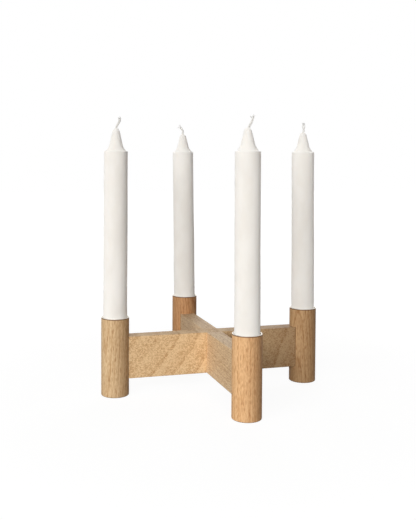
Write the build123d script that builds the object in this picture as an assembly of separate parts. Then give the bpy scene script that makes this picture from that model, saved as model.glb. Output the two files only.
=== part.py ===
from build123d import *
import math
import os

# Advent candle holder. Two oak rails cross in a half lap, and a turned oak post is doweled to each
# rail end, which is coped to fit round it. A pressed metal cup lines the socket in the top of each
# post and holds a tapered crown candle, with its wick cast in.
# The origin lies on the table under the middle of the crossing. The upper rail runs along X, left to
# right, the lower rail along Y, front to rear, and Z is up. Lengths are in millimetres.

# The posts' sites, anticlockwise from the right. Every table with a value for each site has this order
SITES = ("right", "rear", "left", "front")
# Compass heading of each site, seen from the crossing, as a share of a full turn
SITE_HEADING_SHARES = (0, 0.25, 0.5, 0.75)

# Candles
CANDLE_BASE_DIAMETER = 22.3
CANDLE_SHOULDER_DIAMETER = 21.75
CANDLE_BODY_HEIGHT = 180.3
CANDLE_HEAD_HEIGHT = 19.7
CANDLE_BASE_ROUND = 2.0
CANDLE_LEDGE_WIDTH = 1.5
CANDLE_LEDGE_RISE = 0.6
# Radius as a share of the shoulder's, and height as a share of the head's
HEAD_NECK_SHARES = (0.525, 0.365)
HEAD_TIP_SHARES = (0.315, 0.89)
# The heads differ a little: each one's height as a share of the nominal head
HEAD_HEIGHT_SHARES = (0.98, 0.97, 1.09, 1.0)
# How much of the play in its cup each candle leans by, along one heading that is a share of a full turn
LEAN_SHARES = (-0.42, -0.75, 0.15, -0.2)
LEAN_HEADING_SHARE = -0.043

# Wicks
WICK_DIAMETER = 2.1
WICK_SLACK = 0.03
WICK_END_RADIUS = 3.0
# Where each wick starts to bend above the crown, or below it, and how widely
WICK_ROOTS = (-0.6, 3.2, 0.2, -2.7)
WICK_ROOT_RADII = (3.0, 2.6, 2.6, 8.0)
# Straight lengths between the two bends and after the second
WICK_RUNS = (0.8, 2.4, 5.4, 6.4)
WICK_ENDS = (6.4, 1.8, 1.2, 1.2)
# Compass heading of each bend as a share of a full turn, and both bends as shares of a right angle
WICK_HEADING_SHARES = (-0.04, -0.04, 0, -0.04)
WICK_ROOT_TURN_SHARES = (0.24, -0.4, 0.33, 0.3)
WICK_END_TURN_SHARES = (-0.24, -0.1, -0.44, -0.38)

# Candle cups
CUP_DEPTH = 26.3
CUP_WALL = 0.5
CUP_CORNER_RADIUS = 1.4
CUP_MOUTH_EASE = 0.25
CUP_FLANGE_INSET = 0.05
CANDLE_CLEARANCE = 0.25
CUP_CLEARANCE = 0.05

# Posts
POST_SPACING = 190.0
POST_HEIGHT = 72.5
POST_RIM_WALL = 1.05
POST_FOOT_ROUND = 0.9
POST_RIM_EASE = 0.45
SOCKET_FLOOR_GAP = 0.1

# Rails
RAIL_HEIGHT = 39.0
RAIL_THICKNESS = 15.0
RAIL_UNDERSIDE = 16.0
RAIL_EDGE_ROUND = 0.5
LAP_CLEARANCE = 0.06
COPE_GAP = 0.12

# Dowels
DOWEL_DIAMETER = 6.0
DOWEL_POST_DEPTH = 14.0
DOWEL_RAIL_DEPTH = 16.0
DOWEL_CHAMFER = 0.7
DOWEL_CLEARANCE = 0.05
DOWEL_END_GAP = 0.5
# Places between the rail's underside and the socket's floor
DOWEL_PLACES = ("lower", "upper")
DOWEL_PLACE_SHARES = (0.28, 0.72)

# How far each cut runs past the face that it opens
CUT_OVERRUN = 1.0

# Angles in degrees
full_turn = 360
right_angle = full_turn / 4

# Radii and levels that follow from the sizes above
base_radius = CANDLE_BASE_DIAMETER / 2
shoulder_radius = CANDLE_SHOULDER_DIAMETER / 2
wick_radius = WICK_DIAMETER / 2
wick_hole_radius = wick_radius + WICK_SLACK
cup_inner_radius = base_radius + CANDLE_CLEARANCE
cup_outer_radius = cup_inner_radius + CUP_WALL
socket_radius = cup_outer_radius + CUP_CLEARANCE
post_radius = socket_radius + POST_RIM_WALL
flange_radius = post_radius - CUP_FLANGE_INSET
cup_top = POST_HEIGHT + CUP_WALL
cup_floor = cup_top - CUP_DEPTH
socket_floor = cup_floor - CUP_WALL - SOCKET_FLOOR_GAP
rail_middle = RAIL_UNDERSIDE + RAIL_HEIGHT / 2
post_reach = POST_SPACING / 2
cope_radius = post_radius + COPE_GAP
dowel_hole_radius = DOWEL_DIAMETER / 2 + DOWEL_CLEARANCE
dowel_length = DOWEL_POST_DEPTH + DOWEL_RAIL_DEPTH


def eased(face, ease, corners):
    """Return a flat face with the corner nearest each listed point filleted or chamfered by its size."""
    for point, size in corners:
        face = ease(face.vertices().sort_by_distance(point)[0], size)
    return face


def turned(face):
    """Return the solid that a half profile, drawn with radius and height, turns about Z."""
    return revolve(Plane.XZ * face, Axis.Z)


def at_post(solid, site):
    """Return a solid made for the post on +X, turned to the post at a site."""
    return Rot(0, 0, full_turn * SITE_HEADING_SHARES[site]) * solid


def dowel_bar(radius, end_gap, place_share):
    """Return a bar on a dowel's axis in the +X joint, longer than the dowel by a gap at each end."""
    bar = Rot(0, right_angle, 0) * Cylinder(radius, dowel_length + 2 * end_gap)
    middle = post_reach - post_radius + (DOWEL_POST_DEPTH - DOWEL_RAIL_DEPTH) / 2
    level = RAIL_UNDERSIDE + (socket_floor - RAIL_UNDERSIDE) * place_share
    return Pos(middle, 0, level) * bar


def dowel(place_share):
    """Return one dowel of the +X joint, with both ends chamfered."""
    bar = dowel_bar(DOWEL_DIAMETER / 2, 0, place_share)
    return chamfer(bar.edges().filter_by(GeomType.CIRCLE), DOWEL_CHAMFER)


def dowel_holes():
    """Return the bars that drill both holes of the +X joint."""
    return [dowel_bar(dowel_hole_radius, DOWEL_END_GAP, share) for share in DOWEL_PLACE_SHARES]


def rail(notch_from_below):
    """Return a rail along X: edges eased, ends coped round the posts, halved at the middle, drilled."""
    bar = Box(POST_SPACING, RAIL_THICKNESS, RAIL_HEIGHT)
    bar = fillet(bar.edges().filter_by(Axis.X), RAIL_EDGE_ROUND)
    bar = Pos(0, 0, rail_middle) * bar
    cope = Cylinder(cope_radius, RAIL_HEIGHT + 2 * CUT_OVERRUN)
    cope = Pos(post_reach, 0, rail_middle) * cope
    notch_width = RAIL_THICKNESS + 2 * LAP_CLEARANCE
    notch_height = RAIL_HEIGHT / 2 + LAP_CLEARANCE + CUT_OVERRUN
    notch = Box(notch_width, RAIL_THICKNESS + 2 * CUT_OVERRUN, notch_height)
    side = -1 if notch_from_below else 1
    inner_face = rail_middle - side * LAP_CLEARANCE
    bar -= Pos(0, 0, inner_face + side * notch_height / 2) * notch
    for cut in [cope, *dowel_holes()]:
        bar -= [cut, Rot(0, 0, 2 * right_angle) * cut]
    return bar


def post():
    """Return the post on +X: turned, foot eased, bored for its cup and drilled for its dowels."""
    outline = Polyline(
        (0, 0),
        (post_radius, 0),
        (post_radius, POST_HEIGHT),
        (socket_radius, POST_HEIGHT),
        (socket_radius, socket_floor),
        (0, socket_floor),
        close=True,
    )
    profile = eased(make_face(outline), fillet, [((post_radius, 0), POST_FOOT_ROUND)])
    profile = eased(profile, chamfer, [((post_radius, POST_HEIGHT), POST_RIM_EASE)])
    return Pos(post_reach, 0, 0) * turned(profile) - dowel_holes()


def candle_cup():
    """Return the cup on +X: a pressed shell of one wall, with a bent-over flange that covers the rim."""
    outline = Polyline(
        (0, cup_floor - CUP_WALL),
        (cup_outer_radius, cup_floor - CUP_WALL),
        (cup_outer_radius, POST_HEIGHT),
        (flange_radius, POST_HEIGHT),
        (flange_radius, cup_top),
        (cup_inner_radius, cup_top),
        (cup_inner_radius, cup_floor),
        (0, cup_floor),
        close=True,
    )
    floor_corners = [
        ((cup_outer_radius, cup_floor - CUP_WALL), CUP_CORNER_RADIUS + CUP_WALL),
        ((cup_inner_radius, cup_floor), CUP_CORNER_RADIUS),
    ]
    profile = eased(make_face(outline), fillet, floor_corners)
    profile = eased(profile, chamfer, [((cup_inner_radius, cup_top), CUP_MOUTH_EASE)])
    return Pos(post_reach, 0, 0) * turned(profile)


def head_height(site):
    """Return the height of one candle's head above its shoulder."""
    return CANDLE_HEAD_HEIGHT * HEAD_HEIGHT_SHARES[site]


def wick_bar(site, radius, foot):
    """Return a round bar along a wick, from a foot level up through the wax and over its two bends."""
    stem = Line((0, foot), (0, CANDLE_BODY_HEIGHT + head_height(site) + WICK_ROOTS[site]))
    root = JernArc(stem @ 1, stem % 1, WICK_ROOT_RADII[site], -right_angle * WICK_ROOT_TURN_SHARES[site])
    run = Line(root @ 1, (root @ 1) + (root % 1) * WICK_RUNS[site])
    bend = JernArc(run @ 1, run % 1, WICK_END_RADIUS, -right_angle * WICK_END_TURN_SHARES[site])
    end = Line(bend @ 1, (bend @ 1) + (bend % 1) * WICK_ENDS[site])
    path = Plane.XZ * Wire([stem, root, run, bend, end])
    section = Pos(0, 0, foot) * Circle(radius)
    return Rot(0, 0, full_turn * WICK_HEADING_SHARES[site]) * sweep(section, path)


def candle(site):
    """Return a candle on Z with its foot at zero: tapered body, ledge, flared head and wick hole."""
    head = head_height(site)
    middle = Vector(0, 0)
    foot = Vector(base_radius - CANDLE_BASE_ROUND, 0)
    wall = Vector(base_radius, CANDLE_BASE_ROUND)
    shoulder = Vector(shoulder_radius, CANDLE_BODY_HEIGHT)
    ledge = shoulder + Vector(-CANDLE_LEDGE_WIDTH, CANDLE_LEDGE_RISE)
    neck = Vector(shoulder_radius * HEAD_NECK_SHARES[0], CANDLE_BODY_HEIGHT + head * HEAD_NECK_SHARES[1])
    tip = Vector(shoulder_radius * HEAD_TIP_SHARES[0], CANDLE_BODY_HEIGHT + head * HEAD_TIP_SHARES[1])
    crown = Vector(0, CANDLE_BODY_HEIGHT + head)
    flank = (tip - neck).normalized()
    outline = [
        Line(middle, foot),
        TangentArc(foot, wall, tangent=(1, 0)),
        Polyline(wall, shoulder, ledge),
        TangentArc(neck, ledge, tangent=-flank),
        Line(neck, tip),
        TangentArc(tip, crown, tangent=flank),
        Line(crown, middle),
    ]
    return turned(make_face(outline)) - wick_bar(site, wick_hole_radius, -CUT_OVERRUN)


def seated(solid, site):
    """Return a candle's solid stood in its cup, leaning about the middle of the cup's depth."""
    play = math.atan2(2 * CANDLE_CLEARANCE, CUP_DEPTH)
    lean = play * LEAN_SHARES[site]
    heading = full_turn * LEAN_HEADING_SHARE
    foot_shift = Vector(-math.tan(lean) * CUP_DEPTH / 2, 0, base_radius * math.sin(abs(lean)))
    leaning = Pos(foot_shift) * Rot(0, math.degrees(lean), 0) * Rot(0, 0, -heading) * solid
    stand = Vector(post_reach, 0).rotate(Axis.Z, full_turn * SITE_HEADING_SHARES[site])
    stand += Vector(0, 0, cup_floor)
    return Pos(stand) * Rot(0, 0, heading) * leaning


def all_nodes():
    """Return every node's solid by name."""
    nodes = {
        "upper_rail": rail(notch_from_below=True),
        "lower_rail": Rot(0, 0, right_angle) * rail(notch_from_below=False),
    }
    for site, name in enumerate(SITES):
        nodes[f"{name}_post"] = at_post(post(), site)
        nodes[f"{name}_cup"] = at_post(candle_cup(), site)
        nodes[f"{name}_candle"] = seated(candle(site), site)
        nodes[f"{name}_wick"] = seated(wick_bar(site, wick_radius, 0), site)
        for place, share in zip(DOWEL_PLACES, DOWEL_PLACE_SHARES):
            nodes[f"{name}_{place}_dowel"] = at_post(dowel(share), site)
    return nodes


os.makedirs("parts", exist_ok=True)
for name, solid in all_nodes().items():
    export_step(solid, f"parts/{name}.step")
    print(name, round(solid.volume, 1))
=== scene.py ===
"""Advent candle holder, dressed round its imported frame.

The wooden rails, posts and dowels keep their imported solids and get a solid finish. The pressed cups,
the candles and the braided wicks are surfaces worked out here on grids. All lengths are in metres.
"""
import logging
import math
from dataclasses import dataclass, field
from enum import Enum
from typing import Sequence, Union

import bpy
import numpy as np
from mathutils import Euler, Matrix, Vector


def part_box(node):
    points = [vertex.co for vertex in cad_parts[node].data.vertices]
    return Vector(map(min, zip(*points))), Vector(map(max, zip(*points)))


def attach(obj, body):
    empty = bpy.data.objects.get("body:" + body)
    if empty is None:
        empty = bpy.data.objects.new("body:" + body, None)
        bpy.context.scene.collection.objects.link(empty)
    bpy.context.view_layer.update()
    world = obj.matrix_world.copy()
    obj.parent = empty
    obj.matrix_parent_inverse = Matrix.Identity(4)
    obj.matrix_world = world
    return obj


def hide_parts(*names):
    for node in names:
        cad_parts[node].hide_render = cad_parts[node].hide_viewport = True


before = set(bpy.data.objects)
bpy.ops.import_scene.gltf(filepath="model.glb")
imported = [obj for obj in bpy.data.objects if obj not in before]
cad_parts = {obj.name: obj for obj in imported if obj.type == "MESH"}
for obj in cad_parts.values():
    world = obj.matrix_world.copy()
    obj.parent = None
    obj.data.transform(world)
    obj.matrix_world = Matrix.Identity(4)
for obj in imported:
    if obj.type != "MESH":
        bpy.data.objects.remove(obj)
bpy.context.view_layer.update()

MM = 0.001
HOLDER_BODY = "holder"
FULL_TURN = 2.0 * math.pi
UP = (0.0, 0.0, 1.0)
WHITE = (1.0, 1.0, 1.0)
# How far from its axis a turned outline stops, before the fan that closes it
NEAR_AXIS = 0.02 * MM
# Scale that turns metres into millimetres in a material
PER_MM = (1.0 / MM,) * 3
# Strength of each finer octave of a noise as a share of the one before
OCTAVE_SHARE = 0.6
# Numbers of the Mix node's sockets: the share and the two colours, and the result
MIX_IN, MIX_OUT = (0, 6, 7), 2

Socket = bpy.types.NodeSocket
Value = Union[float, Sequence[float], Socket]
Pair = tuple[float, float]
Triple = tuple[float, float, float]
Colour = Triple
Angles = Triple

log = logging.getLogger("candle_holder")


class Site(Enum):
    """The four posts, by where they stand."""

    LEFT = "left"
    FRONT = "front"
    RIGHT = "right"
    REAR = "rear"

    @property
    def number(self) -> int:
        """Return the site's place in the order above, counted from 0."""
        return list(Site).index(self)

    def node(self, piece: str) -> str:
        """Return the name of this site's node or piece of a kind, such as its post."""
        return f"{self.value}_{piece}"


class Detail(Enum):
    """How many finer octaves a noise has."""

    BROAD = 1.0
    PLAIN = 2.0
    FINE = 3.0


class Blend(Enum):
    """How a second colour acts on a first one."""

    OVER = "MIX"
    TINT = "MULTIPLY"


# Surfaces


def unit(vectors: np.ndarray) -> np.ndarray:
    """Return vectors scaled to length one along the last axis."""
    return vectors / np.linalg.norm(vectors, axis=-1, keepdims=True)


def smooth_step(low: float, high: float, x: np.ndarray) -> np.ndarray:
    """Return 0 below low, 1 above high and 3 t t - 2 t t t of the share t between them."""
    t = np.clip((x - low) / (high - low), 0.0, 1.0)
    return t * t * (3.0 - 2.0 * t)


def straight(start: Sequence[float], end: Sequence[float], count: int) -> np.ndarray:
    """Return evenly spaced points from start to end."""
    return np.linspace(start, end, count)


def tangent_arc(
    start: Sequence[float], end: Sequence[float], tangent: Sequence[float], count: int
) -> np.ndarray:
    """Return points on the flat circular arc that leaves start along a tangent and reaches end.

    With n square to the tangent t and c the chord, the signed radius is c.c / (2 n.c) and the turn is
    twice the angle between t and c. A point at turn a is start + radius (sin a t + (1 - cos a) n).

    Args:
        start: first point, as radius and height.
        end: last point.
        tangent: direction at the start, of any length.
        count: number of points.

    Returns:
        Array of count points.
    """
    t = unit(np.asarray(tangent, float))
    n = np.array([-t[1], t[0]])
    chord = np.subtract(end, start)
    radius = chord @ chord / (2.0 * (n @ chord))
    turn = np.linspace(0.0, 2.0 * math.atan2(n @ chord, t @ chord), count)[:, None]
    return np.asarray(start) + radius * (np.sin(turn) * t + (1.0 - np.cos(turn)) * n)


def joined(runs: Sequence[np.ndarray]) -> np.ndarray:
    """Return runs of points as one line, each run's first point taken from the run before."""
    return np.concatenate([runs[0], *[run[1:] for run in runs[1:]]])


def round_angles(count: int) -> np.ndarray:
    """Return evenly spaced angles once round."""
    return np.linspace(0.0, FULL_TURN, count, endpoint=False)


def lathe(profile: np.ndarray, count: int) -> np.ndarray:
    """Return the grid that a profile sweeps about Z: (r cos a, r sin a, z) for each angle a.

    Args:
        profile: array of radius and height, one row for each grid row.
        count: number of columns round the axis.

    Returns:
        Array of rows by count by three.
    """
    angle = round_angles(count)[None, :]
    radius, height = profile[:, :1], profile[:, 1:]
    return np.stack([radius * np.cos(angle), radius * np.sin(angle), height + 0.0 * angle], axis=-1)


def tube(path: np.ndarray, radii: np.ndarray, side: np.ndarray, count: int) -> np.ndarray:
    """Return the grid of a round tube carried along a path.

    At each point, with the tangent t, one cross direction is the side vector less its part along t, and
    the other is square to both. The ring is the path point plus radius (cos a first + sin a second).

    Args:
        path: array of points.
        radii: radius at each point.
        side: a direction that is nowhere along the path.
        count: number of columns round the tube.

    Returns:
        Array of points by count by three.
    """
    tangent = unit(np.gradient(path, axis=0))
    first = unit(side - (tangent @ side)[:, None] * tangent)
    second = np.cross(tangent, first)
    angle = round_angles(count)[None, :, None]
    ring = np.cos(angle) * first[:, None] + np.sin(angle) * second[:, None]
    return path[:, None] + radii[:, None, None] * ring


@dataclass
class Surface:
    """A mesh as whole arrays: vertices, the vertex and UV of each face corner, and corners per face."""

    vertices: np.ndarray
    corners: np.ndarray
    uv: np.ndarray
    counts: np.ndarray

    @classmethod
    def round_grid(cls, points: np.ndarray) -> "Surface":
        """Make a closed surface from a grid whose columns go round.

        Quad (i, j) joins rows i and i + 1 and columns j and j + 1, and the last column joins the first.
        A fan about the middle of the first row and one about the middle of the last row close the ends.
        The UV map runs from 0 to 1 round the columns and along the rows.

        Args:
            points: array of rows by columns by three.

        Returns:
            The surface.
        """
        rows, columns, _ = points.shape
        row, column = np.arange(rows - 1)[:, None], np.arange(columns)[None, :]
        beside = (column + 1) % columns
        lower, upper = row * columns, (row + 1) * columns
        quads = np.stack([lower + column, lower + beside, upper + beside, upper + column], axis=-1)
        u, v = np.broadcast_arrays(column / columns, row / (rows - 1))
        du, dv = 1.0 / columns, 1.0 / (rows - 1)
        quad_uv = np.stack([u, v, u + du, v, u + du, v + dv, u, v + dv], axis=-1)
        poles = np.stack([points[0].mean(axis=0), points[-1].mean(axis=0)])
        first_pole, last_pole = (np.full(columns, rows * columns + pole) for pole in range(2))
        ring, beside_ring, last_row = column[0], beside[0], (rows - 1) * columns
        first = np.stack([beside_ring, ring, first_pole], axis=-1)
        last = np.stack([last_row + ring, last_row + beside_ring, last_pole], axis=-1)
        sides = ring / columns, (ring + 1) / columns
        middle, low, high = (ring + 0.5) / columns, np.zeros(columns), np.ones(columns)
        first_uv = np.stack([sides[1], low, sides[0], low, middle, low], axis=-1)
        last_uv = np.stack([sides[0], high, sides[1], high, middle, high], axis=-1)
        return cls(
            np.concatenate([points.reshape(-1, 3), poles]),
            np.concatenate([quads.ravel(), first.ravel(), last.ravel()]),
            np.concatenate([uv.reshape(-1, 2) for uv in (quad_uv, first_uv, last_uv)]),
            np.concatenate([np.full((rows - 1) * columns, 4), np.full(2 * columns, 3)]),
        )

    @classmethod
    def union(cls, parts: Sequence["Surface"]) -> "Surface":
        """Return several surfaces as one, with the vertex numbers of each moved past those before it.

        Args:
            parts: the surfaces.

        Returns:
            One surface that holds them all.
        """
        starts = np.cumsum([0, *[len(part.vertices) for part in parts]])
        return cls(
            np.concatenate([part.vertices for part in parts]),
            np.concatenate([part.corners + start for part, start in zip(parts, starts)]),
            np.concatenate([part.uv for part in parts]),
            np.concatenate([part.counts for part in parts]),
        )

    def mesh(self, name: str) -> bpy.types.Mesh:
        """Put the arrays into a new smooth mesh.

        Args:
            name: the mesh's name.

        Returns:
            The mesh.
        """
        mesh = bpy.data.meshes.new(name)
        mesh.vertices.add(len(self.vertices))
        mesh.vertices.foreach_set("co", self.vertices.astype(np.float32).ravel())
        mesh.loops.add(len(self.corners))
        mesh.loops.foreach_set("vertex_index", self.corners.astype(np.int32))
        mesh.polygons.add(len(self.counts))
        starts = np.concatenate([[0], np.cumsum(self.counts)[:-1]])
        mesh.polygons.foreach_set("loop_start", starts.astype(np.int32))
        mesh.uv_layers.new(name="UVMap").data.foreach_set("uv", self.uv.astype(np.float32).ravel())
        mesh.polygons.foreach_set("use_smooth", np.ones(len(self.counts), dtype=bool))
        mesh.update(calc_edges=True)
        mesh.validate()
        return mesh

    def piece(self, name: str, finish: bpy.types.Material, slot: str, body: str, node: str) -> None:
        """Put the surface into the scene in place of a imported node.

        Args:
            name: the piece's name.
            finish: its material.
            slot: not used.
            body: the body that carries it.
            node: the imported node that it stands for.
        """
        mesh = self.mesh(name)
        mesh.materials.append(finish)
        piece = bpy.data.objects.new(name, mesh)
        bpy.context.scene.collection.objects.link(piece)
        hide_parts(node)
        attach(piece, body)
        log.info("made %s for %s, %d faces", name, node, len(self.counts))


# Finishes


class Graph:
    """A node tree, with a short method for each kind of node that the finishes and the studio share."""

    def __init__(self, tree: bpy.types.NodeTree) -> None:
        """Start on a tree by clearing it."""
        self.tree = tree
        self.tree.nodes.clear()

    def put(self, socket: Socket, value: Value) -> None:
        """Link a socket to another one, or set its value.

        Args:
            socket: the input that gets the value.
            value: another socket, a number, a vector or a colour.
        """
        if isinstance(value, Socket):
            self.tree.links.new(value, socket)
        elif isinstance(socket, bpy.types.NodeSocketColor):
            socket.default_value = (*value, 1.0)
        else:
            socket.default_value = value

    def node(self, kind: str, inputs: dict[Union[str, int], Value], **settings: object) -> bpy.types.Node:
        """Add a node.

        Args:
            kind: the node's type, without the word ShaderNode.
            inputs: value or link for each named or numbered input.
            settings: the node's own properties.

        Returns:
            The new node.
        """
        node = self.tree.nodes.new("ShaderNode" + kind)
        for name, value in settings.items():
            setattr(node, name, value)
        for name, value in inputs.items():
            self.put(node.inputs[name], value)
        return node

    def math(self, operation: str, *values: Value) -> Socket:
        """Return the result of a Math node."""
        return self.node("Math", dict(enumerate(values)), operation=operation).outputs[0]

    def swing(self, value: Value, depth: float, base: Value) -> Socket:
        """Return a base value plus a depth times how far a value of 0 to 1 is from its middle."""
        return self.math("MULTIPLY_ADD", self.math("SUBTRACT", value, 0.5), depth, base)

    def place(
        self, output: str, scale: Triple, turn: Triple = (0.0, 0.0, 0.0), shift: Triple = (0.0, 0.0, 0.0)
    ) -> Socket:
        """Return the place that a pattern is read at, scaled, then turned, then moved.

        Args:
            output: Object or UV.
            scale: factor for each part.
            turn: radians about X, Y and Z.
            shift: how far to move it.

        Returns:
            The place.
        """
        source = self.node("TexCoord", {}).outputs[output]
        inputs = {"Vector": source, "Scale": scale, "Rotation": turn, "Location": shift}
        return self.node("Mapping", inputs, vector_type="POINT").outputs[0]

    def stretch(self, vector: Socket, scale: Sequence[float]) -> Socket:
        """Return a vector with each part multiplied by its own factor."""
        return self.node("VectorMath", {0: vector, 1: scale}, operation="MULTIPLY").outputs[0]

    def dot(self, first: Value, second: Value) -> Socket:
        """Return the dot product of two vectors."""
        return self.node("VectorMath", {0: first, 1: second}, operation="DOT_PRODUCT").outputs["Value"]

    def noise(self, vector: Socket, rate: Triple, detail: Detail = Detail.PLAIN) -> Socket:
        """Return a noise, about 0.5 on average, that varies along each axis at its own rate."""
        settings = {"Scale": 1.0, "Detail": detail.value, "Roughness": OCTAVE_SHARE}
        return self.node("TexNoise", {"Vector": self.stretch(vector, rate), **settings}).outputs[0]

    def span(
        self, value: Value, low: float, high: float, to_low: float = 0.0, to_high: float = 1.0
    ) -> Socket:
        """Return a value eased from one range to another."""
        inputs = {"Value": value, "From Min": low, "From Max": high, "To Min": to_low, "To Max": to_high}
        return self.node("MapRange", inputs, interpolation_type="SMOOTHSTEP").outputs[0]

    def band(self, value: Value, rise: Pair, fall: Pair, height: float = 1.0) -> Socket:
        """Return a value that eases from 0 to a height over one range and back over another."""
        return self.math("MULTIPLY", self.span(value, *rise), self.span(value, *fall, height, 0.0))

    def mix(self, share: Value, first: Value, second: Value, blend: Blend = Blend.OVER) -> Socket:
        """Return a first colour with a share of a second one laid over it or tinting it."""
        settings = {"data_type": "RGBA", "blend_type": blend.value, "clamp_factor": True}
        return self.node("Mix", dict(zip(MIX_IN, (share, first, second))), **settings).outputs[MIX_OUT]

    def seen(self) -> Socket:
        """Find rays that show a surface, not only carry its light.

        Returns:
            1 for camera, glossy and transmission rays, and 0 for others.
        """
        path = self.node("LightPath", {}).outputs
        shown = self.math("MAXIMUM", path["Is Camera Ray"], path["Is Glossy Ray"])
        return self.math("MAXIMUM", shown, path["Is Transmission Ray"])


class MaterialGraph(Graph):
    """The node tree of a new material, which holds a shader and its output."""

    def __init__(self, name: str) -> None:
        """Start the material.

        Args:
            name: the material's name.
        """
        self.material = bpy.data.materials.new(name)
        self.material.use_nodes = True
        super().__init__(self.material.node_tree)
        self.shader = self.node("BsdfPrincipled", {})
        self.output = self.node("OutputMaterial", {"Surface": self.shader.outputs["BSDF"]})

    def set(self, **inputs: Value) -> None:
        """Set the shader's inputs, named with underscores for spaces."""
        for name, value in inputs.items():
            self.put(self.shader.inputs[name.replace("_", " ")], value)

    def bump(self, height: Socket, distance: float, strength: float) -> None:
        """Give the shader a bumped normal from a height and the depth that a height of 1 stands for."""
        inputs = {"Height": height, "Distance": distance, "Strength": strength}
        self.put(self.shader.inputs["Normal"], self.node("Bump", inputs).outputs[0])


def turned(turn: Angles) -> Matrix:
    """Return the matrix of turns in degrees about X, Y and Z."""
    return Euler(tuple(math.radians(angle) for angle in turn)).to_matrix()


def tinted(colour: Colour, tint: Colour) -> Colour:
    """Return a colour multiplied by a tint."""
    return tuple(part * share for part, share in zip(colour, tint))


def grain_rate(width: float, length: float) -> Triple:
    """Return the rate of a pattern that repeats at a width across the grain and a length along it."""
    return 1.0 / width, 1.0 / width, 1.0 / length


# Turns in degrees that bring a grain along X, Y or Z to the log's own Z
ALONG_X = (0.0, -90.0, 0.0)
ALONG_Y = (90.0, 0.0, 0.0)
ALONG_Z = (0.0, 0.0, 0.0)


@dataclass(frozen=True)
class WoodFigure:
    """What all the oiled wood here has in common.

    The log is measured in millimetres. A rate is how fast a noise varies along each of the log's axes, a
    rise, fall or edge is the range that a value eases across, and a depth is a share of the way from pale
    to deep wood.
    """

    slow_wander: float = 9.0
    slow_rate: Triple = (0.03, 0.03, 0.008)
    quick_wander: float = 1.0
    quick_rate: Triple = (0.2, 0.2, 0.03)
    dark_rise: Pair = (0.0, 0.06)
    dark_fall: Pair = (0.1, 0.3)
    pale_rise: Pair = (0.15, 0.28)
    pale_fall: Pair = (0.4, 0.75)
    faintest_year: float = 0.3
    pore_edge: Pair = (0.2, 0.45)
    pore_draw_edge: Pair = (0.4, 0.8)
    faintest_pore: float = 0.15
    early_edge: Pair = (0.0, 0.8)
    late_pores: float = 0.7
    speck_edge: Pair = (0.34, 0.66)
    fibre_rate: Triple = (1.05, 1.05, 0.08)
    mottle_rate: Triple = (0.06, 0.06, 0.012)
    mottle_depth: float = 0.45
    base_depth: float = 0.34
    end_edge: Pair = (0.4, 0.6)
    roughness: float = 0.55
    pore_roughness: float = 0.2
    fibre_roughness: float = 0.12
    fibre_relief: float = 0.5
    relief: float = 0.08 * MM
    relief_strength: float = 0.8


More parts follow.
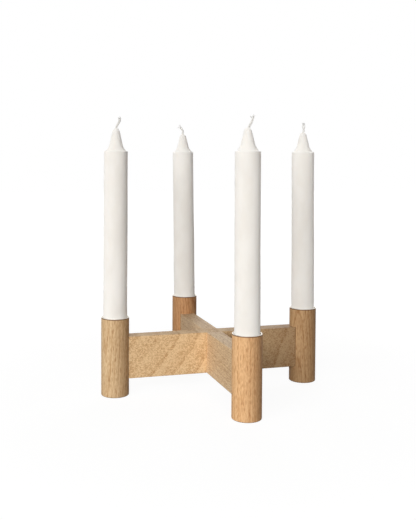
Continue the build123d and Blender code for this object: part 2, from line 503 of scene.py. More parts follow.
@dataclass(frozen=True)
class WoodFinish:
    """Oiled hardwood as a solid: growth rings about a pith line, pore dashes, fibres and mottle.

    Every face of a piece cuts the same log, so the figure runs on round its edges and onto its end grain.
    The log's own axes have Z along the grain and are worked in millimetres from the piece's middle, which
    lies off the pith line by the pith field. Tints multiply the tone. The heart and shade tint is taken by
    a share at the piece's middle, and that share drifts with each millimetre along the log's axes: painted
    shade on the right-hand side of each post, where it turns from the key lamp, on the upper rail's right
    arm and towards the rear end of the lower rail. Within about half a millimetre of each end along the
    grain
    the wood darkens: soaked end grain and dark joints, and on each post's rim painted shade under the
    cup's flange.
    """

    name: str
    tone: Colour
    ring_turn: Angles
    pith: Pair
    grain_turn: Angles = ALONG_Z
    # How the heart share grows with each millimetre along the log's axes: painted shade on a piece's
    # shaded side or end
    shade_drift: Triple = (0.0, 0.0, 0.0)
    heart_and_shade: float = 0.5
    ring: float = 3.4
    ring_depth: float = 0.4
    ring_pale: float = 0.5
    pore_width: float = 1.0
    pore_length: float = 7.0
    pore_depth: float = 0.9
    speck_width: float = 0.9
    speck_length: float = 3.0
    speck_depth: float = 0.36
    fibre_depth: float = 1.0
    gloss: float = 0.12
    pale_tint: Colour = (1.2, 1.22, 1.26)
    deep_tint: Colour = (0.75, 0.59, 0.46)
    pore_tint: Colour = (0.57, 0.37, 0.25)
    # Tint that the heart share takes: a darker tone everywhere, and painted shade where the share drifts
    heart_and_shade_tint: Colour = (0.58, 0.52, 0.48)
    # Tint near the ends along the grain: soaked end grain, and painted shade under each cup's flange
    end_and_shade_tint: Colour = (0.25, 0.18, 0.13)
    figure: WoodFigure = WoodFigure()

    def log_place(self, g: Graph, middle: Vector, turn: Angles, pith: Pair) -> Socket:
        """Return where a point lies in the log, turned about the piece's middle and moved off the pith.

        Args:
            g: the material's graph.
            middle: the piece's middle in metres.
            turn: degrees about X, Y and Z that bring the grain to Z.
            pith: where the piece's middle lies from the pith line, in millimetres.

        Returns:
            The place in millimetres.
        """
        angles = tuple(math.radians(angle) for angle in turn)
        shift = Vector((*pith, 0.0)) - turned(turn) @ (middle / MM)
        return g.place("Object", PER_MM, angles, tuple(shift))

    def early_wood(self, g: Graph, point: Socket) -> Socket:
        """Return how far a point lies in the dark first growth of its year.

        The distance from the pith, with a slow and a quick wander, is counted in rings. Each ring is a
        dark line and then a paler band, and each year has its own strength.

        Args:
            g: the material's graph.
            point: the point's place in the log.

        Returns:
            A value from 1 on the dark line to below 0 on the pale band.
        """
        figure = self.figure
        parts = g.node("SeparateXYZ", {0: point}).outputs
        squares = g.math("ADD", g.math("POWER", parts[0], 2.0), g.math("POWER", parts[1], 2.0))
        radius = g.math("SQRT", squares)
        radius = g.swing(g.noise(point, figure.slow_rate), figure.slow_wander, radius)
        radius = g.swing(g.noise(point, figure.quick_rate), figure.quick_wander, radius)
        rings = g.math("DIVIDE", radius, self.ring)
        phase = g.math("FRACT", rings)
        year = g.node("TexWhiteNoise", {"W": g.math("FLOOR", rings)}, noise_dimensions="1D").outputs[0]
        strength = g.span(year, 0.0, 1.0, figure.faintest_year, 1.0)
        dark = g.band(phase, figure.dark_rise, figure.dark_fall)
        pale = g.band(phase, figure.pale_rise, figure.pale_fall, self.ring_pale)
        return g.math("MULTIPLY", g.math("SUBTRACT", dark, pale), strength)

    def pores(self, g: Graph, grain: Socket, early: Socket) -> Socket:
        """Return how far a point lies in an open pore.

        A pore is the middle of a cell stretched along the grain. Each cell draws its own strength, and
        the pores of the first growth are the strongest.

        Args:
            g: the material's graph.
            grain: the point's place along and across the grain.
            early: how far it lies in the first growth of its year.

        Returns:
            A value from 0 to 1.
        """
        figure = self.figure
        rate = grain_rate(self.pore_width, self.pore_length)
        inputs = {"Vector": g.stretch(grain, rate), "Scale": 1.0}
        cells = g.node("TexVoronoi", inputs, feature="F1").outputs
        draw = g.node("SeparateXYZ", {0: cells["Color"]}).outputs[0]
        strength = g.span(draw, *figure.pore_draw_edge, figure.faintest_pore, 1.0)
        pores = g.math("MULTIPLY", g.span(cells["Distance"], *figure.pore_edge, 1.0, 0.0), strength)
        return g.math("MULTIPLY", pores, g.span(early, *figure.early_edge, figure.late_pores, 1.0))

    def depth(self, g: Graph, grain: Socket, early: Socket, fibre: Socket) -> Socket:
        """Return how far a point's colour lies from pale to deep wood, by all its figure.

        Args:
            g: the material's graph.
            grain: the point's place along and across the grain.
            early: how far it lies in the first growth of its year.
            fibre: the noise of the fibres there.

        Returns:
            A share, which may pass 0 and 1.
        """
        figure = self.figure
        speck = g.noise(grain, grain_rate(self.speck_width, self.speck_length))
        mottle = g.noise(grain, figure.mottle_rate, Detail.BROAD)
        depth = g.math("MULTIPLY_ADD", early, self.ring_depth, figure.base_depth)
        depth = g.swing(g.span(speck, *figure.speck_edge), self.speck_depth, depth)
        depth = g.swing(fibre, self.fibre_depth, depth)
        return g.swing(mottle, figure.mottle_depth, depth)

    def material(self, node: str) -> bpy.types.Material:
        """Make the finish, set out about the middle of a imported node.

        Args:
            node: the node's name.

        Returns:
            The material.
        """
        g, figure = MaterialGraph(self.name), self.figure
        low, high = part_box(node)
        middle = (low + high) / 2
        grain = self.log_place(g, middle, self.grain_turn, (0.0, 0.0))
        early = self.early_wood(g, self.log_place(g, middle, self.ring_turn, self.pith))
        pores = self.pores(g, grain, early)
        fibre = g.noise(grain, figure.fibre_rate)
        tints = (self.pale_tint, self.deep_tint, self.pore_tint, self.end_and_shade_tint)
        pale, deep, dark, soaked_and_shaded = (tinted(self.tone, tint) for tint in tints)
        colour = g.mix(self.depth(g, grain, early, fibre), pale, deep)
        colour = g.mix(g.math("MULTIPLY", pores, self.pore_depth), colour, dark)
        # The share darkens the wood by the heart tint: a darker tone everywhere, and painted shade where
        # it drifts
        heart_and_shade = g.math("ADD", g.dot(grain, self.shade_drift), self.heart_and_shade)
        colour = g.mix(heart_and_shade, colour, self.heart_and_shade_tint, Blend.TINT)
        # Darken within about half a millimetre of each end along the grain: soaked end grain and dark
        # joints, and on each post's rim painted shade under the cup's flange
        half_length = abs((turned(self.grain_turn) @ (high - low)).z) / (2.0 * MM)
        from_end = g.math("SUBTRACT", half_length, g.math("ABSOLUTE", g.dot(grain, UP)))
        colour = g.mix(g.span(from_end, *figure.end_edge, 1.0, 0.0), colour, soaked_and_shaded)
        rough = g.math("MULTIPLY_ADD", pores, figure.pore_roughness, figure.roughness)
        rough = g.swing(fibre, figure.fibre_roughness, rough)
        g.set(Base_Color=colour, Roughness=rough, Specular_IOR_Level=self.gloss)
        relief = g.swing(fibre, figure.fibre_relief, g.math("MULTIPLY", pores, -1.0))
        g.bump(relief, figure.relief, figure.relief_strength)
        return g.material


@dataclass(frozen=True)
class WaxFinish:
    """Cast candle wax: off-white, faintly cloudy, soft to light, with a satin skin."""

    name: str = "candle_wax"
    clear: Colour = (0.889, 0.866, 0.822)
    cloudy: Colour = (0.919, 0.9, 0.862)
    cloud_rate: Triple = (0.09, 0.09, 0.035)
    cloud_edge: Pair = (0.35, 0.65)
    skin_rate: Triple = (0.7, 0.7, 0.25)
    skin_edge: Pair = (0.3, 0.7)
    roughness: Pair = (0.42, 0.54)
    gloss: float = 0.15
    depth_share: float = 0.25
    depth_colour: Colour = (1.0, 0.92, 0.85)
    depth_reach: float = 8.0 * MM
    relief: float = 0.05 * MM
    relief_strength: float = 0.5

    def material(self) -> bpy.types.Material:
        """Make the finish.

        Returns:
            The material.
        """
        g = MaterialGraph(self.name)
        place = g.place("Object", PER_MM)
        cloud = g.noise(place, self.cloud_rate, Detail.FINE)
        skin = g.noise(place, self.skin_rate, Detail.FINE)
        g.set(
            Base_Color=g.mix(g.span(cloud, *self.cloud_edge), self.clear, self.cloudy),
            Roughness=g.span(skin, *self.skin_edge, *self.roughness),
            Diffuse_Roughness=1.0,
            Subsurface_Weight=self.depth_share,
            Subsurface_Radius=self.depth_colour,
            Subsurface_Scale=self.depth_reach,
            Specular_IOR_Level=self.gloss,
        )
        g.bump(skin, self.relief, self.relief_strength)
        return g.material


@dataclass(frozen=True)
class SteelFinish:
    """Thin pressed steel, satin, with fine rings left by the tool."""

    name: str = "cup_metal"
    bright: Colour = (0.72, 0.68, 0.62)
    dull: Colour = (0.6, 0.56, 0.5)
    ring_rate: Triple = (2.0, 420.0, 1.0)
    ring_edge: Pair = (0.3, 0.7)
    stain_rate: Triple = (0.3, 0.3, 0.3)
    stain_edge: Pair = (0.35, 0.7)
    roughness: Pair = (0.5, 0.65)
    relief: float = 0.02 * MM
    relief_strength: float = 0.4

    def material(self) -> bpy.types.Material:
        """Make the finish, whose rings follow the cup's own UV map.

        Returns:
            The material.
        """
        g = MaterialGraph(self.name)
        rings = g.noise(g.place("UV", (1.0, 1.0, 1.0)), self.ring_rate)
        stain = g.noise(g.place("Object", PER_MM), self.stain_rate, Detail.FINE)
        g.set(
            Base_Color=g.mix(g.span(stain, *self.stain_edge), self.bright, self.dull),
            Metallic=1.0,
            Roughness=g.span(rings, *self.ring_edge, *self.roughness),
        )
        g.bump(rings, self.relief, self.relief_strength)
        return g.material


@dataclass(frozen=True)
class CottonFinish:
    """Bleached cotton yarn, waxed, with its twist, painted shade in the twist's furrows and a little soil.
    """

    name: str = "wick_cotton"
    clean: Colour = (0.9, 0.89, 0.86)
    grey: Colour = (0.74, 0.73, 0.7)
    twist_rate: Triple = (3.0, 160.0, 1.0)
    twist_waver: float = 1.5
    # How grey the twist's furrows are painted, as shade
    furrow_shade: float = 0.35
    soil: float = 0.5
    soil_rate: Triple = (0.7, 0.7, 0.7)
    soil_edge: Pair = (0.4, 0.75)
    roughness: float = 0.9
    sheen: float = 0.2
    depth_share: float = 0.2
    depth_reach: float = 0.6 * MM
    relief: float = 0.08 * MM
    relief_strength: float = 0.7

    def material(self) -> bpy.types.Material:
        """Make the finish, whose twist follows each strand's UV map.

        Returns:
            The material.
        """
        g = MaterialGraph(self.name)
        waves = {"Vector": g.place("UV", self.twist_rate), "Scale": 1.0, "Distortion": self.twist_waver}
        twist = g.node("TexWave", waves, bands_direction="DIAGONAL").outputs["Fac"]
        stain = g.noise(g.place("Object", PER_MM), self.soil_rate, Detail.FINE)
        soil = g.span(stain, *self.soil_edge, 0.0, self.soil)
        # Grey in the twist's furrows is painted shade, and the stain adds soil
        shade_and_soil = g.math("MULTIPLY_ADD", g.math("SUBTRACT", 1.0, twist), self.furrow_shade, soil)
        g.set(
            Base_Color=g.mix(shade_and_soil, self.clean, self.grey),
            Roughness=self.roughness,
            Diffuse_Roughness=1.0,
            Subsurface_Weight=self.depth_share,
            Subsurface_Radius=WHITE,
            Subsurface_Scale=self.depth_reach,
            Sheen_Weight=self.sheen,
        )
        g.bump(twist, self.relief, self.relief_strength)
        return g.material


# Sub-assemblies


def dress(node: str, material: bpy.types.Material) -> None:
    """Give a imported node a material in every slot.

    Args:
        node: the node's name.
        material: its new material.
    """
    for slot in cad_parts[node].material_slots:
        slot.material = material
    log.info("dressed %s in %s", node, material.name)


@dataclass
class CrossedRails:
    """The two rails halved over each other, each sawn from its own board.

    The upper board's rings lie about a line through its thickness, far off one end, so they show as wide
    arcs on its near face. The lower board's rings run along its length.
    """

    upper: WoodFinish = WoodFinish(
        "upper_rail_oak",
        tone=(0.71, 0.502, 0.275),
        grain_turn=ALONG_X,
        ring_turn=ALONG_Y,
        pith=(225.2, 131.2),
        # Painted shade: the share grows towards the right end, where the front post and candle shadow the
        # right arm
        shade_drift=(0.0, 0.0, 0.01),
        heart_and_shade=0.15,
        heart_and_shade_tint=(0.53, 0.48, 0.45),
        ring=16.8,
        ring_depth=0.25,
        ring_pale=1.4,
        pore_length=1.5,
        speck_width=1.0,
        speck_length=1.3,
        speck_depth=0.8,
        fibre_depth=0.6,
        gloss=0.2,
    )
    lower: WoodFinish = WoodFinish(
        "lower_rail_oak",
        tone=(0.93, 0.72, 0.452),
        grain_turn=ALONG_Y,
        ring_turn=(88.0, 2.0, 0.0),
        pith=(25.0, 30.0),
        # Painted shade: the share grows towards the rail's rear end
        shade_drift=(0.0, 0.0, 0.0018),
        ring=5.0,
        ring_depth=0.24,
        pore_depth=0.6,
        pore_length=5.0,
        speck_depth=0.6,
        gloss=0.2,
    )

    def build(self) -> None:
        """Dress both rails."""
        dress("upper_rail", self.upper.material("upper_rail"))
        dress("lower_rail", self.lower.material("lower_rail"))


@dataclass
class Posts:
    """The four turned posts, each of its own tone with upright grain and painted shade on its right-hand
    side, and the dowels that hold them.
    """

    # Each post's drift paints shade on its right-hand side as the camera sees it, where it turns from the
    # key lamp
    oak: dict[Site, WoodFinish] = field(
        default_factory=lambda: {
            Site.LEFT: WoodFinish(
                "left_post_oak",
                tone=(0.8, 0.592, 0.342),
                ring_turn=(2.0, -3.0, 0.0),
                pith=(33.0, 20.0),
                shade_drift=(0.018, -0.006, 0.0),
                pore_depth=0.9,
            ),
            Site.FRONT: WoodFinish(
                "front_post_oak",
                tone=(0.915, 0.588, 0.302),
                ring_turn=(3.0, 2.0, 0.0),
                pith=(24.0, 35.0),
                shade_drift=(0.026, -0.009, 0.0),
                pore_depth=0.95,
            ),
            Site.RIGHT: WoodFinish(
                "right_post_oak",
                tone=(0.63, 0.41, 0.21),
                ring_turn=(-2.0, 3.0, 0.0),
                pith=(30.0, 24.0),
                shade_drift=(0.014, -0.005, 0.0),
                pore_depth=0.95,
            ),
            Site.REAR: WoodFinish(
                "rear_post_oak",
                tone=(0.655, 0.37, 0.177),
                ring_turn=(2.0, 2.0, 0.0),
                pith=(-20.0, 25.0),
                shade_drift=(0.01, 0.0, 0.0),
                pore_depth=0.5,
            ),
        }
    )
    beech: WoodFinish = WoodFinish(
        "dowel_beech",
        tone=(0.86, 0.65, 0.46),
        grain_turn=ALONG_X,
        ring_turn=ALONG_X,
        pith=(30.0, 6.0),
        ring=2.0,
        pore_width=0.7,
        pore_length=2.5,
        pore_depth=0.3,
    )

    def build(self) -> None:
        """Dress the posts and their dowels."""
        beech = self.beech.material("right_upper_dowel")
        for site in Site:
            post = site.node("post")
            dress(post, self.oak[site].material(post))
            dress(site.node("upper_dowel"), beech)
            dress(site.node("lower_dowel"), beech)


@dataclass
class CandleCup:
    """A pressed cup: one sheet drawn down into the socket, its mouth bent over into a flange."""

    site: Site
    finish: bpy.types.Material
    bore: float = 11.4 * MM
    sheet: float = 0.5 * MM
    lip: float = 0.3 * MM
    floor_corner: float = 1.4 * MM
    mouth_bend: float = 0.2 * MM
    columns: int = 144
    floor_rows: int = 6
    bend_rows: int = 9
    outer_rows: int = 6
    flange_rows: int = 4
    inner_rows: int = 8

    def profile(self, depth: float, flange: float) -> np.ndarray:
        """Return the outline of the sheet as radius and height below the flange's top.

        The outline runs from the axis under the floor, up the outside, round the flange's thinned edge,
        and back down the inside to the axis, with an arc at each bend.

        Args:
            depth: inside depth from the flange's top to the floor.
            flange: outer radius of the flange.

        Returns:
            Array of radius and height.
        """
        bore, sheet, corner, bend = self.bore, self.sheet, self.floor_corner, self.mouth_bend
        outer, hip, mouth = bore + sheet, corner + sheet, bend + sheet
        under, edge = -depth - sheet, flange - self.lip / 2
        up, out, back, down = (0.0, 1.0), (1.0, 0.0), (-1.0, 0.0), (0.0, -1.0)
        floor, bent, outside, brim = self.floor_rows, self.bend_rows, self.outer_rows, self.flange_rows
        return joined(
            [
                straight((NEAR_AXIS, under), (outer - hip, under), floor),
                tangent_arc((outer - hip, under), (outer, under + hip), out, bent),
                straight((outer, under + hip), (outer, -mouth), outside),
                tangent_arc((outer, -mouth), (outer + bend, -sheet), up, outside),
                straight((outer + bend, -sheet), (edge, -self.lip), brim),
                tangent_arc((edge, -self.lip), (edge, 0.0), out, bent),
                straight((edge, 0.0), (bore + mouth, 0.0), brim),
                tangent_arc((bore + mouth, 0.0), (bore, -mouth), back, bent),
                straight((bore, -mouth), (bore, -depth + corner), self.inner_rows),
                tangent_arc((bore, -depth + corner), (bore - corner, -depth), down, bent),
                straight((bore - corner, -depth), (NEAR_AXIS, -depth), floor),
            ]
        )

    def build(self) -> None:
        """Make the cup where its node stands."""
        node = self.site.node("cup")
        low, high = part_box(node)
        profile = self.profile(high.z - low.z - self.sheet, (high.x - low.x) / 2)
        middle = np.array([(low.x + high.x) / 2, (low.y + high.y) / 2, high.z])
        surface = Surface.round_grid(lathe(profile, self.columns) + middle)
        surface.piece(self.site.node("pressed_cup"), self.finish, "cup_metal", HOLDER_BODY, node)


@dataclass(frozen=True)
class Stand:
    """How a packed candle stands: the middle of its foot, the turn from Z to its axis, its length."""

    foot: np.ndarray
    turn: np.ndarray
    length: float

    @classmethod
    def of_node(cls, node: str) -> "Stand":
        """Find how a packed candle stands.

        The outer wall is turned, so the long principal direction of its points is the axis and their
        mean lies on it. Points near the axis are left out, because the wick hole bends.

        Args:
            node: the candle's node.

        Returns:
            The stand.
        """
        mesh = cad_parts[node].data
        points = np.empty(3 * len(mesh.vertices), np.float32)
        mesh.vertices.foreach_get("co", points)
        points = np.unique(points.reshape(-1, 3).astype(float), axis=0)
        middle, axis = cls.long_axis(points)
        off_axis = np.linalg.norm(np.cross(points - middle, axis), axis=1)
        middle, axis = cls.long_axis(points[off_axis > off_axis.max() / 2])
        along = (points - middle) @ axis
        turn = Vector(UP).rotation_difference(Vector(axis)).to_matrix()
        return cls(middle + axis * along.min(), np.array(turn), float(np.ptp(along)))

    @staticmethod
    def long_axis(points: np.ndarray) -> tuple[np.ndarray, np.ndarray]:
        """Return the mean of some points and their long principal direction, pointing up.

        Args:
            points: array of points.

        Returns:
            The mean and the direction.
        """
        middle = points.mean(axis=0)
        axis = np.linalg.svd(points - middle, full_matrices=False)[2][0]
        return middle, axis * np.sign(axis[2])

    def placed(self, points: np.ndarray) -> np.ndarray:
        """Return points that were made on Z with the foot at zero, stood where the candle stands."""
        return points @ self.turn.T + self.foot


@dataclass(frozen=True)
class WickBend:
    """How a wick bends and frays, with its root measured up from the crown and turns in degrees."""

    root: float
    root_turn: float
    run: float
    end_turn: float
    root_radius: float = 2.6 * MM
    end: float = 1.2 * MM
    fray: float = 4.0 * MM
    spread: float = 0.9 * MM
    heading: float = -14.4


WICK_BENDS = {
    Site.LEFT: WickBend(
        heading=0.0,
        root=0.2 * MM,
        root_turn=29.7,
        run=5.4 * MM,
        end_turn=-39.6,
    ),
    Site.FRONT: WickBend(
        root=-2.7 * MM,
        root_radius=8.0 * MM,
        root_turn=27.0,
        run=6.4 * MM,
        end_turn=-34.2,
    ),
    Site.RIGHT: WickBend(
        root=-0.6 * MM,
        root_radius=3.0 * MM,
        root_turn=21.6,
        run=0.8 * MM,
        end_turn=-21.6,
        end=6.4 * MM,
        fray=8.0 * MM,
        spread=1.2 * MM,
    ),
    Site.REAR: WickBend(
        root=3.2 * MM,
        root_turn=-36.0,
        run=2.4 * MM,
        end_turn=-9.0,
        end=1.8 * MM,
        fray=4.5 * MM,
        spread=1.7 * MM,
    ),
}


@dataclass
class Candle:
    """A cast crown candle: tapered body, sharp shoulder, drawn-in head, wax drawn up round its wick.

    The neck and the tip are shares of the shoulder's radius and of the head's height. The wick leaves the
    crown at its exit, as X and Y from the axis.
    """

    site: Site
    finish: bpy.types.Material
    stand: Stand
    wick_exit: np.ndarray
    base_radius: float = 11.15 * MM
    shoulder_radius: float = 10.875 * MM
    body_height: float = 180.3 * MM
    base_round: float = 2.0 * MM
    ledge_width: float = 1.5 * MM
    ledge_rise: float = 0.6 * MM
    ledge_round: float = 0.25 * MM
    recess_radius: float = 1.5 * MM
    recess_depth: float = 0.6 * MM
    neck: Pair = (0.525, 0.365)
    tip: Pair = (0.31, 0.87)
    cup_depth: float = 26.3 * MM
    wobble: float = 0.06 * MM
    wave_lengths: Triple = (31.0 * MM, 17.0 * MM, 9.0 * MM)
    short_wave: float = 0.6
    cup_fade: float = 1.5
    axis_fade: float = 3.0 * MM
    shoulder_reach: float = 1.6 * MM
    crown_rise: float = 0.45 * MM
    crown_reach: float = 1.5 * MM
    columns: int = 160
    recess_rows: int = 4
    foot_rows: int = 6
    foot_bend_rows: int = 8
    wall_rows: int = 150
    shoulder_rows: int = 5
    ledge_rows: int = 4
    hollow_rows: int = 22
    head_rows: int = 20

    def profile(self) -> np.ndarray:
        """Work out the outline of the wax, from the recess under the foot, up the wall and to the crown.

        Returns:
            Array of radius and height.
        """
        head = self.stand.length - self.body_height
        recess = np.array([self.recess_radius, self.recess_depth])
        brink = np.array([self.recess_radius + self.recess_depth / 2, 0.0])
        foot = np.array([self.base_radius - self.base_round, 0.0])
        wall = np.array([self.base_radius, self.base_round])
        shoulder = np.array([self.shoulder_radius, self.body_height])
        ledge = shoulder + (-self.ledge_width, self.ledge_rise)
        neck, tip = (
            shoulder * (across, 1.0) + (0.0, head * up) for across, up in (self.neck, self.tip)
        )
        below = shoulder - (0.0, self.ledge_round)
        beside = shoulder + self.ledge_round * unit(ledge - shoulder)
        return joined(
            [
                straight((NEAR_AXIS, self.recess_depth), recess, self.recess_rows),
                straight(recess, brink, self.recess_rows),
                straight(brink, foot, self.foot_rows),
                tangent_arc(foot, wall, (1.0, 0.0), self.foot_bend_rows),
                straight(wall, below, self.wall_rows),
                tangent_arc(below, beside, (0.0, 1.0), self.shoulder_rows),
                straight(beside, ledge, self.ledge_rows),
                tangent_arc(neck, ledge, neck - tip, self.hollow_rows)[::-1],
                straight(neck, tip, self.head_rows),
                tangent_arc(tip, (NEAR_AXIS, self.stand.length), tip - neck, self.head_rows),
            ]
        )

    def surface(self) -> np.ndarray:
        """Return the candle's grid on Z, with the small unevenness of cast wax.

        The radius gains three slow waves round and along the body, which fade out inside the cup and near
        the axis. The shoulder's edge rises and falls by two waves round the axis, and the crown rises by
        a bell about the place where the wick leaves it.

        Returns:
            Array of rows by columns by three.
        """
        profile = self.profile()
        points = lathe(profile, self.columns)
        radius, height = profile[:, :1], profile[:, 1:]
        angle = round_angles(self.columns)[None, :]
        phase = np.random.default_rng(self.site.number).uniform(0.0, FULL_TURN, 5)
        longest, middling, shortest = self.wave_lengths
        waves = (
            np.sin(2.0 * angle + height / longest + phase[0])
            + np.sin(3.0 * angle - height / middling + phase[1])
            + self.short_wave * np.sin(angle + height / shortest + phase[2])
        )
        above_cup = smooth_step(self.cup_depth, self.cup_fade * self.cup_depth, height)
        share = above_cup * smooth_step(0.0, self.axis_fade, radius) / np.maximum(radius, MM)
        points[..., :2] *= (1.0 + self.wobble * waves * share)[..., None]
        near_shoulder = above_cup * np.exp(-(((height - self.body_height) / self.shoulder_reach) ** 2))
        edge = np.sin(2.0 * angle + phase[3]) + np.sin(5.0 * angle + phase[4])
        off_wick = np.linalg.norm(points[..., :2] - self.wick_exit, axis=-1)
        drawn_up = above_cup * self.crown_rise * np.exp(-((off_wick / self.crown_reach) ** 2))
        points[..., 2] += self.wobble * near_shoulder * edge + drawn_up
        return points

    def build(self) -> None:
        """Make the candle where its node stands, with its crown drawn up round the wick."""
        node = self.site.node("candle")
        surface = Surface.round_grid(self.stand.placed(self.surface()))
        surface.piece(self.site.node("cast_candle"), self.finish, "candle_wax", node, node)


@dataclass
class Wick:
    """A braided cotton wick: three yarns plaited up through the wax, bent over and frayed at the tip."""

    site: Site
    finish: bpy.types.Material
    stand: Stand
    yarns: int = 3
    yarn: float = 0.58 * MM
    yarn_columns: int = 10
    yarn_thinning: float = 0.5
    braid_width: float = 0.55 * MM
    braid_depth: float = 0.36 * MM
    pitch: float = 5.0 * MM
    fray_turn: float = 0.6
    end_radius: float = 3.0 * MM
    foot_gap: float = 0.1 * MM
    hidden_step: float = 1.2 * MM
    open_step: float = 0.16 * MM
    open_length: float = 18.0 * MM
    fibres: int = 48
    fibre: float = 0.09 * MM
    fibre_columns: int = 5
    fibre_rows: int = 9
    fibre_thinning: float = 0.6
    fibre_roots: tuple[int, int] = (2, 9)
    fibre_lengths: Pair = (1.2 * MM, 2.4 * MM)
    fibre_curls: Pair = (0.15, 0.7)
    end_steps: int = 3
    seed: int = 40

    @property
    def bend(self) -> WickBend:
        """Return how this wick bends."""
        return WICK_BENDS[self.site]

    def out(self) -> np.ndarray:
        """Return the level direction that the wick bends towards."""
        heading = math.radians(self.bend.heading)
        return np.array([math.cos(heading), math.sin(heading), 0.0])

    def line(self) -> tuple[np.ndarray, np.ndarray]:
        """Return the wick's middle line on Z.

        The lean from the axis is zero up to the root, eases to the root turn over the first bend and on by
        the end turn over the second, and the line is the running sum of (sin lean, cos lean) steps.

        Returns:
            Distance along the line, and its points.
        """
        bend = self.bend
        first, second = math.radians(bend.root_turn), math.radians(bend.end_turn)
        start = self.stand.length + bend.root
        run = start + bend.root_radius * abs(first)
        turn = run + bend.run
        straight_end = turn + self.end_radius * abs(second)
        total = straight_end + bend.end
        dense = total - self.open_length
        hidden = np.arange(self.foot_gap, dense, self.hidden_step)
        along = np.concatenate([hidden, np.linspace(dense, total, int(self.open_length / self.open_step))])
        lean = first * smooth_step(start, run, along) + second * smooth_step(turn, straight_end, along)
        direction = np.sin(lean)[:, None] * self.out() + np.cos(lean)[:, None] * np.array(UP)
        steps = np.diff(along, prepend=0.0)[:, None]
        return along, np.cumsum(steps * direction, axis=0)

    def exit(self) -> np.ndarray:
        """Return where the middle line leaves the crown, as X and Y from the axis."""
        line = self.line()[1]
        return line[np.argmax(line[:, 2] > self.stand.length), :2]

    def yarn_grids(self) -> list[np.ndarray]:
        """Return a tube grid for each yarn of the plait.

        Yarn k stands off the middle line by (width sin(t), depth sin(2 t)) with t its distance over the
        pitch plus its share of a turn, and drifts outwards and thins over the frayed end.

        Returns:
            One grid for each yarn.
        """
        along, line = self.line()
        side = np.cross(self.out(), UP)
        across = np.cross(unit(np.gradient(line, axis=0)), side)
        loose = smooth_step(along[-1] - self.bend.fray, along[-1], along)
        radii = self.yarn * (1.0 - self.yarn_thinning * loose)
        grids = []
        for share in np.arange(self.yarns) / self.yarns:
            t = FULL_TURN * (along / self.pitch + share)
            away = FULL_TURN * share + self.fray_turn
            wide = self.braid_width * np.sin(t) + loose * self.bend.spread * math.sin(away)
            deep = self.braid_depth * np.sin(2.0 * t) + loose * self.bend.spread * math.cos(away)
            path = line + wide[:, None] * across + deep[:, None] * side
            grids.append(tube(path, radii, side, self.yarn_columns))
        return grids

    def fibre_grids(self) -> list[np.ndarray]:
        """Return a thin tube grid for each loose fibre of the frayed tip.

        A fibre leaves a yarn's end at a random depth, runs on along it, and curves off to a random side
        by the square of its distance.

        Returns:
            One grid for each fibre.
        """
        draw = np.random.default_rng(self.seed + self.site.number)
        ends = [grid.mean(axis=1) for grid in self.yarn_grids()]
        share = np.linspace(0.0, 1.0, self.fibre_rows)[:, None]
        radii = self.fibre * (1.0 - self.fibre_thinning * share[:, 0])
        grids = []
        for index in range(self.fibres):
            yarn = ends[index % len(ends)]
            start = yarn[-1 - int(draw.integers(*self.fibre_roots))]
            ahead = unit(yarn[-1] - yarn[-1 - self.end_steps])
            off = unit(np.cross(ahead, unit(draw.normal(size=3))))
            length = draw.uniform(*self.fibre_lengths)
            curl = draw.uniform(*self.fibre_curls)
            path = start + length * (share * ahead + curl * share**2 * off)
            grids.append(tube(path, radii, np.cross(ahead, off), self.fibre_columns))
        return grids

    def build(self) -> None:
        """Make the wick in its candle."""
        grids = [*self.yarn_grids(), *self.fibre_grids()]
        surface = Surface.union([Surface.round_grid(self.stand.placed(grid)) for grid in grids])
        node, body = self.site.node("wick"), self.site.node("candle")
        surface.piece(self.site.node("braided_wick"), self.finish, "wick_cotton", body, node)


# Studio


@dataclass(frozen=True)
class Lamp:
    """A soft lamp off the object, by its bearing in degrees, 0 in front and negative to the left."""

    name: str
    azimuth: float
    elevation: float
    distance: float
    size: Pair
    power: float

    def hang(self, target: Triple) -> None:
        """Put the lamp into the scene.

        Args:
            target: the point that it faces.
        """
        data = bpy.data.lights.new(self.name, "AREA")
        data.shape = "RECTANGLE"
        data.size, data.size_y = self.size
        data.energy = self.power
        lamp = bpy.data.objects.new(self.name, data)
        a, e = math.radians(self.azimuth), math.radians(self.elevation)
        back = Vector((math.sin(a) * math.cos(e), -math.cos(a) * math.cos(e), math.sin(e)))
        turn = (-back).to_track_quat("-Z", "Y").to_matrix().to_4x4()
        lamp.matrix_world = Matrix.Translation(Vector(target) + back * self.distance) @ turn
        bpy.context.scene.collection.objects.link(lamp)


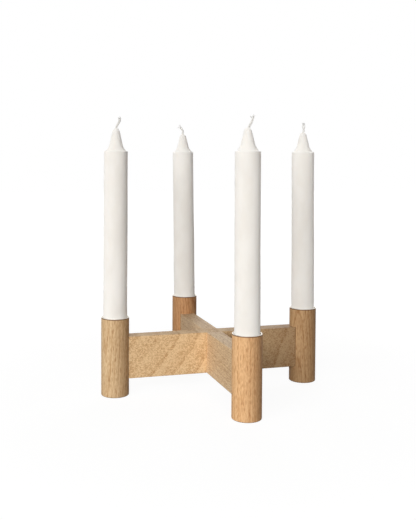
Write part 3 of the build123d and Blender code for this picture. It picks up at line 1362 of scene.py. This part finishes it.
@dataclass
class Studio:
    """A pale floor, a white surround, two soft lamps and the camera.

    The floor and the surround look white, while the light that they throw on the object is dim and warm.
    """

    camera_place: Triple = (-0.23686, -0.71453, 0.22263)
    heading: float = 15.527
    tilt: float = 2.177
    roll: float = -0.23
    focal_pixels: float = 784.64
    centre_pixel: Pair = (174.3, 186.2)
    image: tuple[int, int] = (416, 520)
    sensor: float = 36.0
    fill: float = 0.03
    fill_colour: Colour = (1.0, 0.84, 0.7)
    floor_size: float = 8.0
    floor_drop: float = 0.1 * MM
    paper_seen: Colour = (0.95, 0.95, 0.95)
    paper_thrown: tuple[Colour, Colour] = ((0.17, 0.13, 0.1), (0.2, 0.16, 0.13))
    paper_rate: Triple = (300.0, 300.0, 300.0)
    paper_roughness: float = 0.9
    white_level: float = 1.06
    white_edge: Pair = (0.16, 0.6)
    near_white: float = 0.88
    lamp_target: Triple = (0.0, 0.0, 0.12)
    lamps: tuple[Lamp, ...] = (
        Lamp("key", azimuth=-35.5, elevation=19.5, distance=4.0, size=(4.96, 1.6), power=181.0),
        Lamp("back", azimuth=155.0, elevation=30.0, distance=2.5, size=(2.0, 1.0), power=18.0),
    )

    def camera(self) -> None:
        """Place the camera as the photograph was taken, with the shift that its framing needs."""
        data = bpy.data.cameras.new("camera")
        width, height = self.image
        data.sensor_width = self.sensor
        data.lens = self.focal_pixels / height * self.sensor
        data.shift_x = (width / 2 - self.centre_pixel[0]) / height
        data.shift_y = (self.centre_pixel[1] - height / 2) / height
        camera = bpy.data.objects.new("camera", data)
        turn = Matrix.Rotation(math.radians(-self.heading), 4, "Z")
        turn = turn @ Matrix.Rotation(math.radians(90.0 - self.tilt), 4, "X")
        turn = turn @ Matrix.Rotation(math.radians(-self.roll), 4, "Z")
        camera.matrix_world = Matrix.Translation(self.camera_place) @ turn
        bpy.context.scene.collection.objects.link(camera)
        bpy.context.scene.camera = camera

    def surround(self) -> None:
        """Light the object evenly from all round, and show white behind it."""
        world = bpy.data.worlds.new("surround")
        bpy.context.scene.world = world
        world.use_nodes = True
        g = Graph(world.node_tree)
        light = g.node("Background", {"Color": self.fill_colour, "Strength": self.fill})
        white = g.node("Background", {"Color": WHITE, "Strength": 1.0})
        mix = g.node("MixShader", {0: g.seen(), 1: light.outputs[0], 2: white.outputs[0]})
        g.node("OutputWorld", {"Surface": mix.outputs[0]})

    def floor(self) -> None:
        """Lay the floor: matt paper, seen partly as plain white, and wholly so away from the object."""
        half = self.floor_size / 2
        sides = ((-half, -half), (half, -half), (half, half), (-half, half))
        mesh = bpy.data.meshes.new("floor")
        mesh.from_pydata([(x, y, -self.floor_drop) for x, y in sides], [], [(0, 1, 2, 3)])
        floor = bpy.data.objects.new("floor", mesh)
        bpy.context.scene.collection.objects.link(floor)
        g = MaterialGraph("floor_paper")
        place = g.node("TexCoord", {}).outputs["Object"]
        seen = g.seen()
        thrown = g.mix(g.noise(place, self.paper_rate), *self.paper_thrown)
        g.set(Base_Color=g.mix(seen, thrown, self.paper_seen), Roughness=self.paper_roughness)
        away = g.node("VectorMath", {0: place}, operation="LENGTH").outputs["Value"]
        share = g.math("MULTIPLY", seen, g.span(away, *self.white_edge, self.near_white, 1.0))
        white = g.node("Emission", {"Color": WHITE, "Strength": self.white_level})
        mix = g.node("MixShader", {0: share, 1: g.shader.outputs[0], 2: white.outputs[0]})
        g.put(g.output.inputs["Surface"], mix.outputs[0])
        mesh.materials.append(g.material)

    def build(self) -> None:
        """Set up the whole studio."""
        bpy.context.scene.view_settings.view_transform = "Standard"
        self.camera()
        self.surround()
        self.floor()
        for lamp in self.lamps:
            lamp.hang(self.lamp_target)


def main() -> None:
    """Build every sub-assembly and report each piece."""
    logging.basicConfig(level=logging.INFO, format="%(name)s: %(message)s")
    CrossedRails().build()
    Posts().build()
    steel, wax, cotton = SteelFinish().material(), WaxFinish().material(), CottonFinish().material()
    for site in Site:
        CandleCup(site, steel).build()
        stand = Stand.of_node(site.node("candle"))
        wick = Wick(site, cotton, stand)
        wick.build()
        Candle(site, wax, stand, wick.exit()).build()
    Studio().build()


if __name__ == "__main__":
    main()
